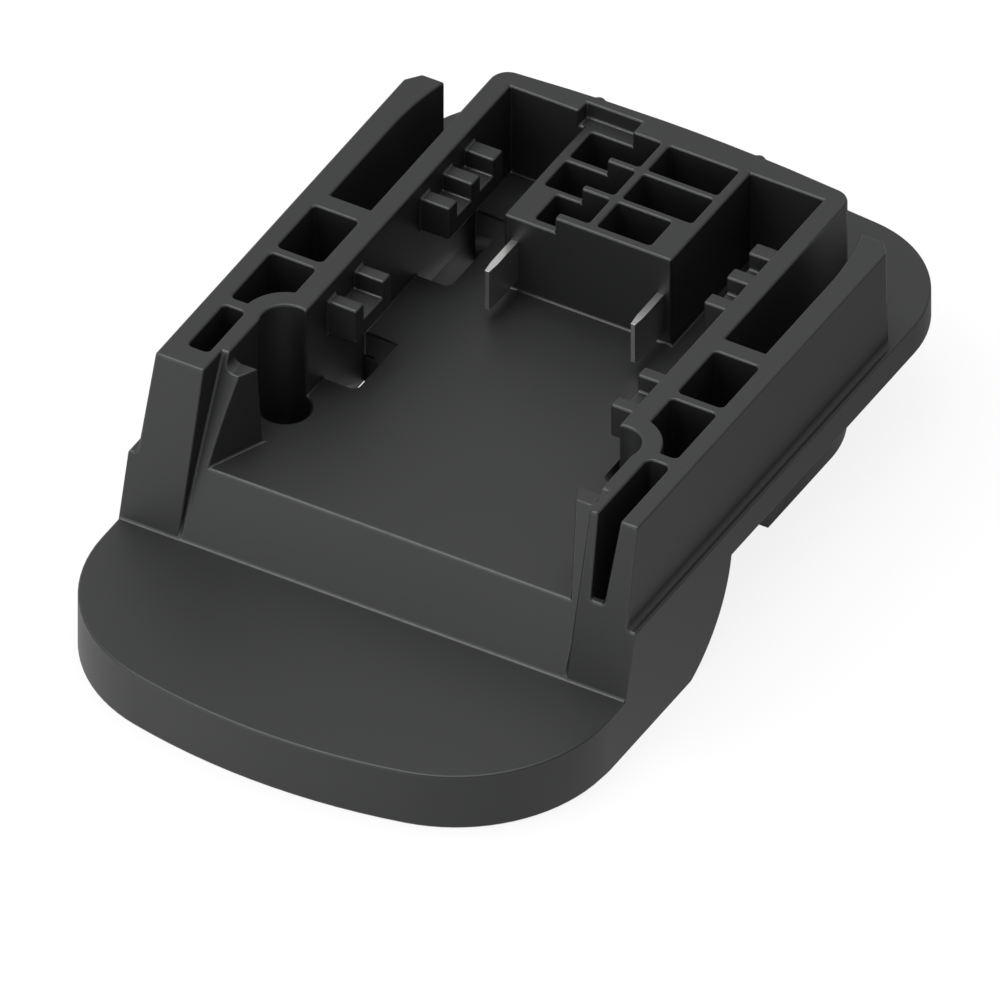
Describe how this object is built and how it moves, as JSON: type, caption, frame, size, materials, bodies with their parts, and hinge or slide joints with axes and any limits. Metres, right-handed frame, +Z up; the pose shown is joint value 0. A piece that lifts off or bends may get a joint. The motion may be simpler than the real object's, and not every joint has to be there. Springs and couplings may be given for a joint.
{
  "type": "battery adapter",
  "caption": "Slide-in adapter: toothed rails and two flat contact blades take a battery pack on top, a hollow plug below enters the device.",
  "frame": {"origin": "middle of the bounding box on the surface the adapter stands on", "axes": "+Y from the tongue to the back wall, the way the battery slides in; +Z up; +X to the right"},
  "size_m": [0.0876, 0.1404, 0.0375],
  "materials": {
    "housing": "fine grain",
    "foot": "fine grain",
    "carrier": "plain moulded",
    "screws": "zinc plated",
    "blades": "nickel plated",
    "springs": "bare copper alloy",
    "terminals": "tinned",
    "lead_black": "satin",
    "lead_red": "satin"
  },
  "bodies": {
    "root": {"housing": "housing", "device_foot": "foot", "contact_carrier": "carrier", "foot_screws": "screws", "carrier_screws": "screws", "contact_blade_left": "blades", "spring_contact_left": "springs", "blade_terminal_left": "terminals", "spring_terminal_left": "terminals", "contact_blade_right": "blades", "spring_contact_right": "springs", "blade_terminal_right": "terminals", "spring_terminal_right": "terminals", "lead_left": "lead_black", "lead_right": "lead_red"}
  },
  "joints": []
}
